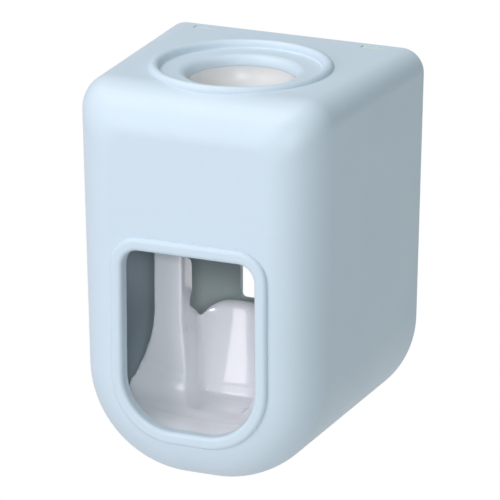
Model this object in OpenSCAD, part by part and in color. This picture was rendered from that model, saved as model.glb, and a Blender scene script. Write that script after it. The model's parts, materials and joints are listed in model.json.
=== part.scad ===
// Wall-hung toothpaste dispenser with a push lever.
// Frame of the parts: X to the right, Y from the front to the wall, Z up.
// Heights are measured from the lowest point of the shell, depths from its open back.
// The finished part is then moved so that its origin is the middle of the pad's wall face.

/* [Shell] */
// Height of the shell at its front face
shell_h = 109.2; // [107:0.2:114]
// Width of the shell at its top rear edge
shell_w = 77.5; // [76:0.5:84]
// Depth of the shell from its open back to its front face
shell_d = 69.8; // [69:0.2:76]
// Thickness of the shell's walls
shell_wall = 2.2; // [1.8:0.1:2.6]
// How far the underside rises from the front to the back
rear_lift = 4.2; // [0:0.2:6]
// How much each side draws in from the back to the front
front_draw = 2.8; // [0:0.2:3.4]
// How much each side draws in from the top to the bottom
bottom_draw = 2.6; // [0:0.2:3]
// Radius of the two top edges at the back
top_round_rear = 6.5; // [4:0.5:8]
// Radius of the two top edges at the front
top_round_front = 8.5; // [5:0.5:10]
// Sideways radius of the rounded underside
belly_rx = 31.5; // [24:0.5:33]
// Upright radius of the rounded underside
belly_rz = 28.9; // [24:0.5:32]
// Round-over of the front edges, seen from the front
edge_round = 12.6; // [10:0.2:14]
// Depth that the front round-over takes
edge_depth = 14; // [11:0.5:16]

/* [Port] */
// Distance of the port's axis from the open back, as a share of the shell's depth
port_share = 0.51; // [0.5:0.005:0.52]
// Outer radius of the raised lip round the port
lip_r = 25; // [24:0.5:26]
// Width of the raised lip
lip_w = 2.8; // [2.4:0.1:3.2]
// Height of the lip above the shell's top
lip_h = 1.3; // [0.8:0.1:1.6]
// Depth of the recess floor below the shell's top
recess = 0.9; // [0.4:0.1:1.4]
// Radius of the hole in the recess floor
port_r = 14.6; // [13.6:0.2:15.4]
// Rounding of the hole's edge
port_edge = 2; // [1:0.1:2.4]
// Length of the collar below the recess floor
collar_len = 3; // [2.6:0.1:4]

/* [Window] */
// Width of the window
win_w = 38.9; // [36:0.5:40]
// Height of the window's lower edge
win_z0 = 15.6; // [15:0.2:17]
// Height of the window's upper edge
win_z1 = 65.5; // [60:0.5:68]
// Radius of the window's lower corners
win_r_low = 14.6; // [12:0.2:16]
// Radius of the window's upper corners
win_r_top = 4.8; // [3:0.2:6]
// Width of the raised rim round the window
rim_w = 3.6; // [3:0.1:4]
// Height of the rim above the front face
rim_h = 1.35; // [0.9:0.05:1.8]
// Rounding of the rim's two edges
rim_round = 1.2; // [0.5:0.05:1.4]

/* [Back cover] */
// Thickness of the back cover
cover_t = 2; // [1.6:0.1:2.4]
// How deep the cover's outer face lies inside the shell
cover_in = 2.3; // [2:0.1:3]
// Wall that is left outside the cover's seat
seat_wall = 1.3; // [1:0.1:1.5]
// Width of the wide lower part of the hanging hole
entry_w = 29.4; // [26.6:0.2:30.4]
// Height of the hanging hole's lower edge
entry_z0 = 32.4; // [31:0.2:34]
// Height at which the hanging hole narrows
entry_z1 = 58; // [57:0.5:60]
// Width of the narrow upper part of the hanging hole
slot_w = 19; // [18:0.2:20]
// Width of each tab at the cover's top edge
tab_w = 7.2; // [6:0.2:8]
// Distance of each tab's middle from the centre line
tab_x = 25.1; // [22:0.2:26]
// Distance of each cover screw from the centre line
cover_screw_x = 22; // [20:0.5:23]
// Height of the cover screws
cover_screw_z = 18; // [17:0.5:20]

/* [Wall hanger] */
// Width of the hanger's plate
plate_w = 40; // [36:1:46]
// Height of the hanger's plate
plate_h = 32; // [28:1:34]
// Thickness of the hanger's plate
plate_t = 1.6; // [1.2:0.1:1.7]
// Thickness of the adhesive pad
pad_t = 0.8; // [0.5:0.1:1]
// Gap between the shell's rear edge and the wall
wall_gap = 0.5; // [0.3:0.1:1]
// Height of the neck's top, on which the cover hangs
hang_top = 80; // [79:0.5:82]
// Height of the hanger's neck
neck_h = 18; // [16:0.5:19]
// Width of the hanger's head
head_w = 25.6; // [24:0.2:26]
// Thickness of the hanger's head
head_t = 2.2; // [1.8:0.1:2.6]

/* [Pump] */
// Radius of the tube neck's bore in the seal
neck_bore_r = 6; // [5.5:0.1:6.5]
// Radius of the funnel's bowl
bowl_r = 9; // [8.5:0.1:9.5]
// Thickness of the funnel's wall
cup_wall = 1.8; // [1.5:0.1:2]
// Outer radius of the neck seal
seal_r = 9; // [8.8:0.1:9.4]
// Height of the neck seal
seal_h = 7.6; // [7:0.2:8]
// Outer radius of the bladder
bladder_r = 8.3; // [7.8:0.1:8.6]
// Wall of the bladder
bladder_wall = 1.5; // [1.2:0.1:1.8]
// Length of the bladder's body below its flange
bladder_len = 14.6; // [13.6:0.2:15]
// Radius of the bladder's lower spigot
spigot_r = 4.2; // [4:0.1:4.6]

/* [Lever] */
// Distance from the port's axis forward to the lever's front plane
lever_ahead = 14.4; // [14:0.1:14.8]
// Distance of each leg's inner edge from the centre line
leg_in = 11.2; // [10.8:0.1:11.6]
// Distance of each leg's outer edge from the centre line
leg_out = 20; // [19.4:0.2:20.2]
// Thickness of the lever's walls
lever_t = 2.4; // [2:0.1:2.6]
// Height of the tongue's top
tongue_top = 42.4; // [41:0.2:44]
// Inner radius of the scooped tongue
tongue_r = 19.4; // [18:0.2:22]
// Distance from the lever's front plane back to the tongue's middle
tongue_set = 14; // [13.4:0.1:14.4]
// Half of the pocket's width near its floor
pocket_low = 9.9; // [9.2:0.1:10.6]
// Height of the pan at the middle of its front lip
pan_z = 14.6; // [14.2:0.1:15]
// Gap between the shell's front face and the pan's lip
pan_gap = 3.3; // [3.2:0.1:4.5]
// Half of the pan's width
pan_half = 26.5; // [25.5:0.1:26.8]
// Radius of the hollow blend between the legs and the pan
blend_r = 8; // [5:0.5:9]
// Radius of the pivot pins
pin_r = 2; // [1.6:0.1:2.2]
// Width of each hinge eye
eye_w = 3; // [2.6:0.1:3.4]

/* [Springs] */
// Radius of the spring wire
wire_r = 0.35; // [0.25:0.05:0.4]
// Mean radius of the coils
coil_r = 3.4; // [3:0.1:3.6]
// Whole turns of each coil
coil_turns = 2; // [1:1:2]
// Length of the arm that rests on the stop bar
arm_fore = 7; // [6.4:0.1:7.6]
// Length of the arm that presses on the leg
arm_down = 11.6; // [10:0.1:12.4]

/* [Fasteners] */
// Radius of the screws' shanks
screw_r = 1.25; // [1.1:0.05:1.4]
// Radius of the screws' heads
head_r = 2.6; // [2.3:0.1:2.8]

/* [Hidden] */

$fn = 72;
fine = 0.05;          // running fit between round pieces
seat_gap = 0.15;      // clearance round pieces that drop into a seat
cut = 1;              // how far a cutting solid runs past the face it cuts
corner_steps = 12;    // straight pieces to a quarter turn of the shell's outline
edge_steps = 8;       // rings across the front round-over

cover_front = cover_in + cover_t;
port_depth = shell_d * port_share;
port_y = -port_depth;
recess_z = shell_h - recess;
collar_bottom = recess_z - collar_len;

// Pump levels, from the funnel down
cup_flange_t = 2;
cup_flange_w = 4.8;
bowl_x = port_r - bowl_r;
bowl_z = collar_bottom;
cup_throat_r = seal_r - 1;
bowl_end_z = bowl_z - sqrt(bowl_r * bowl_r - pow(cup_throat_r - bowl_x, 2));
seal_top = bowl_z - sqrt(pow(bowl_r + cup_wall, 2) - pow(cup_throat_r - bowl_x, 2));
seal_bottom = seal_top - seal_h;
seal_ring_h = 2;
cup_bottom = seal_bottom - seal_ring_h - 2 * fine;
cup_outer_r = seal_r + cup_wall;
frame_top = cup_bottom;
frame_t = 4;
frame_bottom = frame_top - frame_t;
flange_t = 1.2;
bladder_top = frame_bottom;
bladder_end = bladder_top - flange_t - bladder_len;
taper_h = 3.6;
spigot_h = 3;
spigot_z = bladder_end - taper_h - spigot_h;
flange_w = 2.2;
flange_r = bladder_r + flange_w;
ring_h = 2.2;
ring_wall = 1.8;
ring_r = flange_r + ring_wall;

// Lever levels and depths
lever_front = port_depth + lever_ahead;
tongue_depth = lever_front - tongue_set;
pan_front = shell_d - pan_gap;

// Pivot of the lever
coil_lift = 0.35;     // air between the coils and the frame
pivot_set = 4.5;      // from the lever's front plane back to the pivot
notch_len = 9.5;      // room for the legs, behind the stop bar
bar_gap = 1;          // from the lever's front plane to the stop bar
leg_gap = 0.5;        // air between a leg and its cheek
pivot_z = frame_top + coil_r + wire_r + coil_lift;
pivot_y = -(lever_front - pivot_set);
eye_r = 4.6;
eye_in = leg_in + 1.4;
eye_out = eye_in + eye_w;
cheek_in = leg_out + leg_gap;
cheek_t = 2.4;
cheek_out = cheek_in + cheek_t;
bar_back = -(lever_front + bar_gap);
notch_y = bar_back + notch_len;
bar_t = 2.5;
bumper_x = leg_in + 2.6;
bumper_r = 1.7;
bumper_air = 0.3;     // from the leg's front face to the rubber button
bumper_stem_r = 0.75;
bumper_z = frame_bottom + frame_t / 2;

// Anvil that the bladder is squeezed against
anvil_side = 2.7;
anvil_half = bladder_r + anvil_side;
anvil_t = 2.4;
anvil_y = port_y + bladder_r + 0.2;

// Posts that carry the pump frame under the shell's top
post_r = 3.2;
post_rim = 0.8;       // how far the frame's pads stand out round the posts
post_x = cheek_out + post_r + 1;
post_front_y = -lever_front;
frame_behind = 13.6;  // from the port's axis back to the frame's rear edge
frame_back_y = port_y + frame_behind;
post_rear_y = frame_back_y + post_r + post_rim;
arm_w = 5.2;
posts = [for (sx = [-1, 1], y = [post_front_y, post_rear_y]) [sx * post_x, y]];
thread_len = 8;
thread_end = 0.5;     // bore left beyond a screw's tip
rib_t = 1.6;
pass_gap = 0.25;      // clearance round a screw that passes through

// Screws' heads
head_h = 1.6;
head_sink = 1;
cross_w = 0.7;
cross_deep = 0.5;

// Hanger
hole_round = 1.2;
hang_bottom = hang_top - neck_h;
hanger_mid = hang_top - neck_h / 2;
neck_w = slot_w - 0.6;
neck_round = 1;
plate_round = 3;
head_gap = 0.3;

// Window rim
rim_half = rim_w / 2;
rim_root = shell_wall - 0.4;

// Moves the finished part to its origin on the wall
module place() translate([0, -wall_gap, -hanger_mid]) children();

// Turns a drawing of X and Z into a plate whose front is at depth s1 and back at s0
module upright(s0, s1) translate([0, -s0, 0]) rotate([90, 0, 0]) linear_extrude(s1 - s0) children();

// Turns a drawing of Y and Z into a bar that runs along X
module sideways(x0, x1) translate([x0, 0, 0]) rotate([90, 0, 90]) linear_extrude(x1 - x0) children();

module on_axis() translate([0, port_y, 0]) children();

module both_sides() {
    children();
    mirror([1, 0, 0]) children();
}

// Tube section of a revolve between two radii and two heights
module band(r0, r1, z0, z1) translate([r0, z0]) square([r1 - r0, z1 - z0]);

// A rectangle with round corners about a centre line
module round_rect(w, z0, z1, r) {
    translate([-w / 2 + r, z0]) square([w - 2 * r, z1 - z0]);
    translate([-w / 2, z0 + r]) square([w, z1 - z0 - 2 * r]);
    for (x = [-w / 2 + r, w / 2 - r], z = [z0 + r, z1 - r]) translate([x, z]) circle(r);
}

// A cylinder along Y from depth s0 to depth s1
module rod_y(x, z, r, s0, s1) translate([x, -s0, z]) rotate([90, 0, 0]) cylinder(r = r, h = s1 - s0);

// A cylinder along X
module rod_x(x0, x1, y, z, r) translate([x0, y, z]) rotate([0, 90, 0]) cylinder(r = r, h = x1 - x0);

// The shell's outline

function quarter(cx, cz, rx, rz, from) =
    [for (k = [0:corner_steps]) let (a = from + 90 * k / corner_steps)
        [cx + rx * cos(a), cz + rz * sin(a)]];

function half_width(s) = shell_w / 2 - front_draw * s / shell_d;

function floor_z(s) = rear_lift * (1 - s / shell_d);

function drawn_in(p) = [p[0] * (1 - bottom_draw / (shell_w / 2) * (shell_h - p[1]) / shell_h), p[1]];

// Outline at depth s, a distance skin inside the outer face and drawn in by the round-over
function outline(s, skin, over) = let (
        w = half_width(s) - skin - over,
        top = shell_h - skin - over,
        low = floor_z(s) + skin + over,
        rt = max(top_round_rear + (top_round_front - top_round_rear) * s / shell_d - skin - 0.3 * over, 1),
        rx = belly_rx - skin - over,
        rz = belly_rz - skin - over)
    [for (p = concat(quarter(w - rt, top - rt, rt, rt, 0), quarter(-w + rt, top - rt, rt, rt, 90),
                     quarter(-w + rx, low + rz, rx, rz, 180), quarter(w - rx, low + rz, rx, rz, 270)))
        drawn_in(p)];

function ring_at(s, skin, over) = [for (p = outline(s, skin, over)) [p[0], -s, p[1]]];

// A solid through rings of equal length, from back to front
module through(rings) {
    n = len(rings[0]);
    last = len(rings) - 1;
    sides = [for (j = [0:last - 1], i = [0:n - 1]) let (a = j * n + i, b = j * n + (i + 1) % n)
        each [[a, a + n, b + n], [a, b + n, b]]];
    polyhedron(
        points = [for (r = rings) each r],
        faces = concat(sides, [[for (i = [0:n - 1]) i]], [[for (i = [n - 1:-1:0]) last * n + i]]));
}

// The rounded body, a distance skin inside the shell's outer face
module rounded_body(skin, back) {
    depth = edge_depth - skin;
    over = edge_round - skin;
    start = shell_d - edge_depth;
    through(concat([ring_at(back, skin, 0)],
        [for (k = [0:edge_steps]) let (t = 90 * k / edge_steps)
            ring_at(start + depth * sin(t), skin, over * (1 - cos(t)))]));
}

// A slice of the body's inside, between two depths
module slice(skin, s0, s1) through([ring_at(s0, skin, 0), ring_at(s1, skin, 0)]);

module window_shape() {
    half = win_w / 2;
    translate([-half + win_r_low, win_z0]) square([win_w - 2 * win_r_low, win_z1 - win_z0]);
    translate([-half + win_r_top, win_z0 + win_r_low])
        square([win_w - 2 * win_r_top, win_z1 - win_z0 - win_r_low]);
    translate([-half, win_z0 + win_r_low]) square([win_w, win_z1 - win_r_top - win_z0 - win_r_low]);
    for (m = [-1, 1]) {
        translate([m * (half - win_r_low), win_z0 + win_r_low]) circle(win_r_low);
        translate([m * (half - win_r_top), win_z1 - win_r_top]) circle(win_r_top);
    }
}

// Section of the rim: across the rim and out of the front face
module rim_section(sink) {
    translate([-rim_half, -sink]) square([rim_w, sink + rim_h - rim_round]);
    translate([-rim_half + rim_round, -sink]) square([rim_w - 2 * rim_round, sink + rim_h]);
    for (m = [-1, 1]) translate([m * (rim_half - rim_round), rim_h - rim_round]) circle(rim_round);
}

module rim_corner(x, z, r, from)
    translate([x, 0, z]) rotate([90, 0, 0]) rotate([0, 0, from])
        rotate_extrude(angle = 90) translate([r + rim_half, 0]) rim_section(rim_root);

module window_rim() translate([0, -shell_d, 0]) {
    half = win_w / 2;
    side_len = win_z1 - win_z0 - win_r_low - win_r_top;
    side_z = (win_z0 + win_r_low + win_z1 - win_r_top) / 2;
    for (m = [-1, 1]) translate([m * (half + rim_half), 0, side_z])
        linear_extrude(side_len, center = true) rotate(180) rim_section(rim_root);
    translate([0, 0, win_z1 + rim_half]) rotate([0, 90, 0])
        linear_extrude(win_w - 2 * win_r_top, center = true) rotate(180) rim_section(rim_root);
    translate([0, 0, win_z0 - rim_half]) rotate([0, 90, 0])
        linear_extrude(win_w - 2 * win_r_low, center = true) rotate(180) rim_section(rim_root);
    rim_corner(half - win_r_low, win_z0 + win_r_low, win_r_low, 270);
    rim_corner(-half + win_r_low, win_z0 + win_r_low, win_r_low, 180);
    rim_corner(half - win_r_top, win_z1 - win_r_top, win_r_top, 0);
    rim_corner(-half + win_r_top, win_z1 - win_r_top, win_r_top, 90);
}

// The port: lip, recess floor, rounded hole and collar in one turned section
module port_ring() {
    plate_low = recess_z - shell_wall;
    crest_z = shell_h + lip_h - lip_w / 2;
    edge_x = port_r + port_edge;
    edge_z = recess_z - port_edge;
    on_axis() rotate_extrude() {
        difference() {
            union() {
                band(port_r, lip_r, plate_low, recess_z);
                band(port_r, port_r + shell_wall, collar_bottom, recess_z);
            }
            difference() {
                band(port_r - cut, edge_x, edge_z, recess_z + cut);
                translate([edge_x, edge_z]) circle(port_edge);
            }
        }
        band(lip_r - lip_w, lip_r, plate_low, crest_z);
        translate([lip_r - lip_w / 2, crest_z]) circle(lip_w / 2);
    }
}

module cover_bosses() for (m = [-1, 1])
    rod_y(m * cover_screw_x, cover_screw_z, post_r, cover_front, cover_front + thread_len + thread_end + 1);

// Shell: one moulding with port, window and screw bosses
module shell() color([0.80, 0.88, 0.94]) place() difference() {
    union() {
        difference() {
            rounded_body(0, 0);
            rounded_body(shell_wall, cover_front - cut);
            slice(seat_wall, -cut, cover_front);
            upright(shell_d - 3 * shell_wall, shell_d + cut) window_shape();
            on_axis() translate([0, 0, shell_h - 2 * shell_wall])
                cylinder(r = lip_r - lip_w / 2, h = 3 * shell_wall);
        }
        port_ring();
        window_rim();
        for (p = posts) translate([p[0], p[1], frame_top])
            cylinder(r = post_r, h = shell_h - shell_wall / 2 - frame_top);
        intersection() {
            rounded_body(shell_wall / 2, 0);
            union() {
                cover_bosses();
                for (m = [-1, 1]) translate([m * cover_screw_x - rib_t / 2, -cover_front - thread_len, 0])
                    cube([rib_t, thread_len, cover_screw_z]);
            }
        }
    }
    for (p = posts) translate([p[0], p[1], frame_top - cut])
        cylinder(r = screw_r + fine, h = thread_len + cut + thread_end);
    for (m = [-1, 1]) {
        rod_y(m * cover_screw_x, cover_screw_z, screw_r + fine, cover_front - cut,
            cover_front + thread_len + thread_end);
        translate([m * tab_x - tab_w / 2 - seat_gap, -cover_front - seat_gap, shell_h - 2 * shell_wall])
            cube([tab_w + 2 * seat_gap, cover_t + 2 * seat_gap, 3 * shell_wall]);
    }
}

// Back cover: plate with hanging hole, two top tabs and two countersunk screw holes
module back_cover() color([0.78, 0.87, 0.93]) place() difference() {
    union() {
        slice(seat_wall + seat_gap, cover_in, cover_front);
        for (m = [-1, 1]) translate([m * tab_x - tab_w / 2, -cover_front, shell_h - 2 * shell_wall])
            cube([tab_w, cover_t, 2 * shell_wall - seat_gap]);
    }
    upright(cover_in - cut, cover_front + cut) {
        round_rect(entry_w, entry_z0, entry_z1, hole_round);
        round_rect(slot_w, entry_z1 - 4 * hole_round, hang_top, hole_round);
    }
    for (m = [-1, 1]) {
        rod_y(m * cover_screw_x, cover_screw_z, screw_r + pass_gap, cover_in - cut, cover_front + cut);
        rod_y(m * cover_screw_x, cover_screw_z, head_r + pass_gap, cover_in - cut, cover_in + head_sink);
    }
}

// Screw that points along +Z from the origin, with a flat cross recess in its head
module screw(len, top) difference() {
    half = head_r - 1.2;
    union() {
        cylinder(r = screw_r, h = len);
        translate([0, 0, -top]) cylinder(r = head_r, h = top);
    }
    for (a = [0, 90]) rotate(a) translate([-half, -cross_w / 2, -top - cut])
        cube([2 * half, cross_w, cut + cross_deep]);
}

module cover_screws() color([0.72, 0.73, 0.75]) place()
    for (m = [-1, 1]) translate([m * cover_screw_x, -cover_in - head_sink, cover_screw_z])
        rotate([90, 0, 0]) screw(cover_t - head_sink + thread_len, head_sink);

// Funnel that guides the tube's shoulder, with the seal's holder below it
module socket_cup() color([0.94, 0.95, 0.96]) place() on_axis() rotate_extrude() {
    bowl_out = bowl_r + cup_wall;
    band(port_r, port_r + cup_flange_w, bowl_z - cup_flange_t, bowl_z);
    difference() {
        translate([bowl_x, bowl_z]) circle(bowl_out);
        translate([bowl_x, bowl_z]) circle(bowl_r);
        translate([bowl_x - bowl_out - cut, bowl_z]) square([2 * (bowl_out + cut), bowl_out + cut]);
        translate([bowl_x - bowl_out - cut, bowl_z - bowl_out - cut])
            square([cup_throat_r - bowl_x + bowl_out + cut, 2 * (bowl_out + cut)]);
    }
    band(cup_throat_r, cup_outer_r, seal_top, bowl_end_z - 0.2);
    band(seal_r, cup_outer_r, cup_bottom, seal_top);
}

// Silicone seal: straight grip bore with a rounded mouth
module neck_seal() color([0.85, 0.86, 0.87]) place() on_axis() rotate_extrude() {
    mouth = 0.8;
    band(neck_bore_r + mouth, seal_r - fine, seal_bottom, seal_top);
    band(neck_bore_r, neck_bore_r + mouth, seal_bottom, seal_top - mouth);
    translate([neck_bore_r + mouth, seal_top - mouth]) circle(mouth);
}

module seal_ring() color([0.92, 0.93, 0.94]) place() on_axis() difference() {
    translate([0, 0, seal_bottom - seal_ring_h]) cylinder(r = seal_r - fine, h = seal_ring_h);
    translate([0, 0, seal_bottom - seal_ring_h - cut])
        cylinder(r = neck_bore_r + 0.6, h = seal_ring_h + 2 * cut);
}

valve_r = 7.4;
valve_t = 1.2;
flap_r = 4.5;
flap_slit = 0.4;
flap_root = 3.2;
inlet_r = 4.2;

// Disc valve: the middle flap hangs on one side of a slot
module inlet_valve() color([0.82, 0.84, 0.86]) place() on_axis() difference() {
    translate([0, 0, frame_top - valve_t]) cylinder(r = valve_r, h = valve_t - fine);
    translate([0, 0, frame_top - valve_t - cut]) difference() {
        cylinder(r = flap_r + flap_slit, h = valve_t + 2 * cut);
        translate([0, 0, -cut]) cylinder(r = flap_r, h = valve_t + 4 * cut);
        translate([-flap_root / 2, 0, -cut]) cube([flap_root, flap_r + cut, valve_t + 4 * cut]);
    }
}

module frame_arm(p) translate([0, 0, frame_bottom]) {
    translate(p) cylinder(r = post_r + post_rim, h = frame_t);
    translate([min(0, p[0]), p[1] - arm_w / 2, 0]) cube([abs(p[0]), arm_w, frame_t]);
}

rib_drop = 2;
rib_back_y = frame_back_y + 2;
bumper_pocket = 1.2;

// Frame under the shell's top: plate, cheeks for the pivots, stop bar and anvil
module pump_frame() color([0.93, 0.94, 0.95]) place() difference() {
    union() {
        translate([-cheek_out, notch_y, frame_bottom]) cube([2 * cheek_out, frame_back_y - notch_y, frame_t]);
        on_axis() translate([0, 0, frame_bottom]) cylinder(r = ring_r, h = frame_t);
        translate([-cheek_out, bar_back - bar_t, frame_bottom]) cube([2 * cheek_out, bar_t, frame_t]);
        for (p = posts) frame_arm(p);
        both_sides() sideways(cheek_in, cheek_out) {
            translate([bar_back - bar_t, frame_bottom]) square([frame_back_y - bar_back + bar_t, frame_t]);
            translate([pivot_y - eye_r, frame_bottom]) square([2 * eye_r, pivot_z - frame_bottom]);
            translate([pivot_y, pivot_z]) circle(eye_r);
        }
        // Anvil behind the bladder, held by two ribs
        translate([-anvil_half, anvil_y, bladder_end])
            cube([2 * anvil_half, anvil_t, frame_bottom - bladder_end]);
        both_sides() sideways(anvil_half - anvil_t, anvil_half)
            polygon([[anvil_y + anvil_t / 2, frame_bottom + frame_t / 2],
                     [rib_back_y, frame_bottom + frame_t / 2], [rib_back_y, frame_bottom - rib_drop],
                     [anvil_y + anvil_t / 2, bladder_end]]);
    }
    // Room for the bladder's flange and its ring in front of the anvil
    on_axis() translate([0, 0, bladder_top - flange_t - ring_h - seat_gap])
        cylinder(r = ring_r + seat_gap, h = flange_t + ring_h + seat_gap);
    // Room for the legs and springs to swing through the plate
    both_sides() translate([leg_in + leg_gap, bar_back, frame_bottom - cut])
        cube([cheek_in - leg_in - leg_gap, notch_y - bar_back, frame_t + 2 * cut]);
    on_axis() translate([0, 0, frame_bottom - cut]) cylinder(r = inlet_r, h = frame_t + 2 * cut);
    on_axis() translate([0, 0, frame_top - valve_t]) cylinder(r = valve_r + fine, h = valve_t + cut);
    for (p = posts) translate([p[0], p[1], frame_bottom - cut])
        cylinder(r = screw_r + pass_gap, h = frame_t + 2 * cut);
    both_sides() rod_x(cheek_in - cut, cheek_out + cut, pivot_y, pivot_z, pin_r + fine);
    both_sides() rod_y(bumper_x, bumper_z, bumper_stem_r + fine, -bar_back - cut, -bar_back + bumper_pocket);
}

module frame_screws() color([0.72, 0.73, 0.75]) place()
    for (p = posts) translate([p[0], p[1], frame_bottom]) screw(frame_t + thread_len, head_h);

// Silicone bladder: flange, tube and lower spigot, turned from one section
module pump_bladder() color([0.88, 0.89, 0.90]) place() on_axis() rotate_extrude() {
    taper_end = bladder_end - taper_h;
    tube_in = bladder_r - bladder_wall;
    spigot_in = spigot_r - bladder_wall;
    lag = 0.5;
    polygon([[tube_in, bladder_top], [flange_r, bladder_top], [flange_r, bladder_top - flange_t],
             [bladder_r, bladder_top - flange_t], [bladder_r, bladder_end], [spigot_r, taper_end],
             [spigot_r, spigot_z], [spigot_in, spigot_z], [spigot_in, taper_end - lag],
             [tube_in, bladder_end - lag]]);
}

// Ring that holds the bladder's flange against the frame
module clamp_ring() color([0.90, 0.91, 0.93]) place() on_axis() rotate_extrude() {
    band(bladder_r + 2 * fine, ring_r, bladder_top - flange_t - ring_h, bladder_top - flange_t);
    band(flange_r + 2 * fine, ring_r, bladder_top - flange_t, bladder_top);
}

nozzle_t = 1.4;
nozzle_r = spigot_r + fine + nozzle_t;
nozzle_top = bladder_end - taper_h - 0.6;
nozzle_low = spigot_z - 1.6;
nozzle_rim_h = 1.4;
cap_t = 1;

// Nozzle pushed over the bladder's spigot
module outlet_nozzle() color([0.92, 0.93, 0.94]) place() on_axis() rotate_extrude() {
    band(spigot_r + fine, nozzle_r, nozzle_low, nozzle_top);
    band(nozzle_r - 0.2, nozzle_r + cap_t, nozzle_top - nozzle_rim_h, nozzle_top);
}

lips_low = nozzle_low - cap_t;
lips_r = spigot_r - 1;
lips_t = 3;
slit_w = 0.6;
slit_half = lips_r - 0.8;
valve_wall = 1.4;

// Duckbill: a flanged cup that closes to a slit
module outlet_valve() color([0.84, 0.85, 0.87]) place() on_axis() {
    difference() {
        translate([0, 0, nozzle_low]) cylinder(r = spigot_r, h = spigot_z - nozzle_low - fine);
        translate([0, 0, nozzle_low - cut])
            cylinder(r = spigot_r - valve_wall, h = spigot_z - nozzle_low + 2 * cut);
    }
    difference() {
        intersection() {
            translate([0, 0, lips_low]) cylinder(r = lips_r, h = nozzle_low - lips_low + slit_w);
            translate([-lips_r - cut, -lips_t / 2, lips_low]) cube([2 * (lips_r + cut), lips_t, lips_t]);
        }
        translate([-slit_half, -slit_w / 2, lips_low - cut])
            cube([2 * slit_half, slit_w, lips_t + 2 * cut]);
    }
}

module nozzle_cap() color([0.91, 0.92, 0.94]) place() on_axis() rotate_extrude() {
    band(nozzle_r + fine, nozzle_r + cap_t, nozzle_low - cap_t, nozzle_top - nozzle_rim_h - 2 * fine);
    band(spigot_r - 0.7, nozzle_r + cap_t, nozzle_low - cap_t, nozzle_low - fine);
}

// Lever

flare_r = 27;
flare_a = 21;
flare_top = 42;
flare_x = leg_out + flare_r * (1 - cos(flare_a));
flare_z = flare_top - flare_r * sin(flare_a);
leg_top = frame_bottom - head_h;
flange_d = 4;
pocket_r = 5;
pocket_top = 40;
arch_r = 7;
roll_r = 3.2;
tongue_y = -(tongue_depth + tongue_r);
tongue_t = 2.2;
tongue_half = leg_in + 0.2;
side_t = 2.1;

// The pan is turned about an axis along Y, high above its floor
pan_sag = 100;
pan_t = 1.8;
pan_slope = 0.085;
pan_axis_z = pan_z + pan_sag;
pan_corner = 15.5;
pan_back = lever_front - lever_t;
floor_back = tongue_depth - 0.5;
pocket_z = floor_at(tongue_depth) - 1;
blend_s = lever_front + blend_r;

// Height of the pan's floor on the centre line at depth s
function floor_at(s) = pan_z + pan_slope * (pan_front - s);

// The room between the legs, seen from the front
module pocket_shape(grow, top) {
    low = pocket_z + pocket_r;
    bend = min(top, pocket_top);
    narrow = pocket_low + grow;
    wide = narrow + (leg_in - pocket_low) * (bend - low) / (pocket_top - low);
    polygon([[-narrow, low], [narrow, low], [wide, bend], [-wide, bend]]);
    if (top > pocket_top) translate([-wide, bend - 0.5]) square([2 * wide, top - bend + 0.5]);
    translate([-pocket_low + pocket_r, pocket_z - grow])
        square([2 * (pocket_low - pocket_r), pocket_r + grow + 1]);
    for (m = [-1, 1]) translate([m * (pocket_low - pocket_r), low]) circle(pocket_r + grow);
}

// Half of the front plate: leg, flare and foot
module leg_half() difference() {
    foot_z = floor_at(lever_front) + 2 * pan_t;
    foot_x = flare_x + (flare_z - foot_z) * tan(flare_a);
    polygon([[0, pan_z - pan_t], [pan_half, pan_z - pan_t], [foot_x, foot_z], [flare_x, flare_z],
             [leg_out, flare_top], [leg_out, leg_top], [0, leg_top]]);
    translate([leg_out + flare_r, flare_top]) circle(flare_r, $fn = 180);
}

module front_plate() upright(lever_front - lever_t, lever_front) difference() {
    intersection() {
        both_sides() leg_half();
        translate([0, pan_axis_z]) circle(pan_axis_z - floor_at(lever_front) + pan_t, $fn = 180);
    }
    pocket_shape(0, leg_top + cut);
}

// Side and bottom walls of the pocket that the brush goes into
module pocket_walls() difference() {
    upright(tongue_depth - 1, lever_front) difference() {
        pocket_shape(side_t, tongue_top - arch_r);
        pocket_shape(0, tongue_top);
    }
    translate([0, tongue_y, 0]) difference() {
        translate([-leg_out, 0, 0]) cube([2 * leg_out, tongue_depth, tongue_top]);
        translate([0, 0, -cut]) cylinder(r = tongue_r + tongue_t, h = tongue_top + 2 * cut);
    }
}

// Scooped tongue with a rolled upper edge, arched at its top corners
module tongue() intersection() {
    translate([0, tongue_y, 0]) rotate_extrude() {
        band(tongue_r, tongue_r + tongue_t, pocket_z - 0.5, tongue_top - roll_r);
        intersection() {
            difference() {
                translate([tongue_r + roll_r, tongue_top - roll_r]) circle(roll_r);
                translate([tongue_r + roll_r, tongue_top - roll_r]) circle(roll_r - tongue_t);
            }
            band(tongue_r, tongue_r + roll_r, tongue_top - roll_r, tongue_top);
        }
    }
    upright(tongue_depth - 8, lever_front - 4) {
        arch_z = tongue_top - arch_r;
        translate([-tongue_half, pocket_top - 12]) square([2 * tongue_half, arch_z - pocket_top + 12]);
        translate([-tongue_half + arch_r, arch_z - 1]) square([2 * (tongue_half - arch_r), arch_r + 1]);
        for (m = [-1, 1]) translate([m * (tongue_half - arch_r), arch_z]) circle(arch_r);
        pocket_shape(side_t - 0.2, pocket_top - 8);
    }
}

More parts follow.
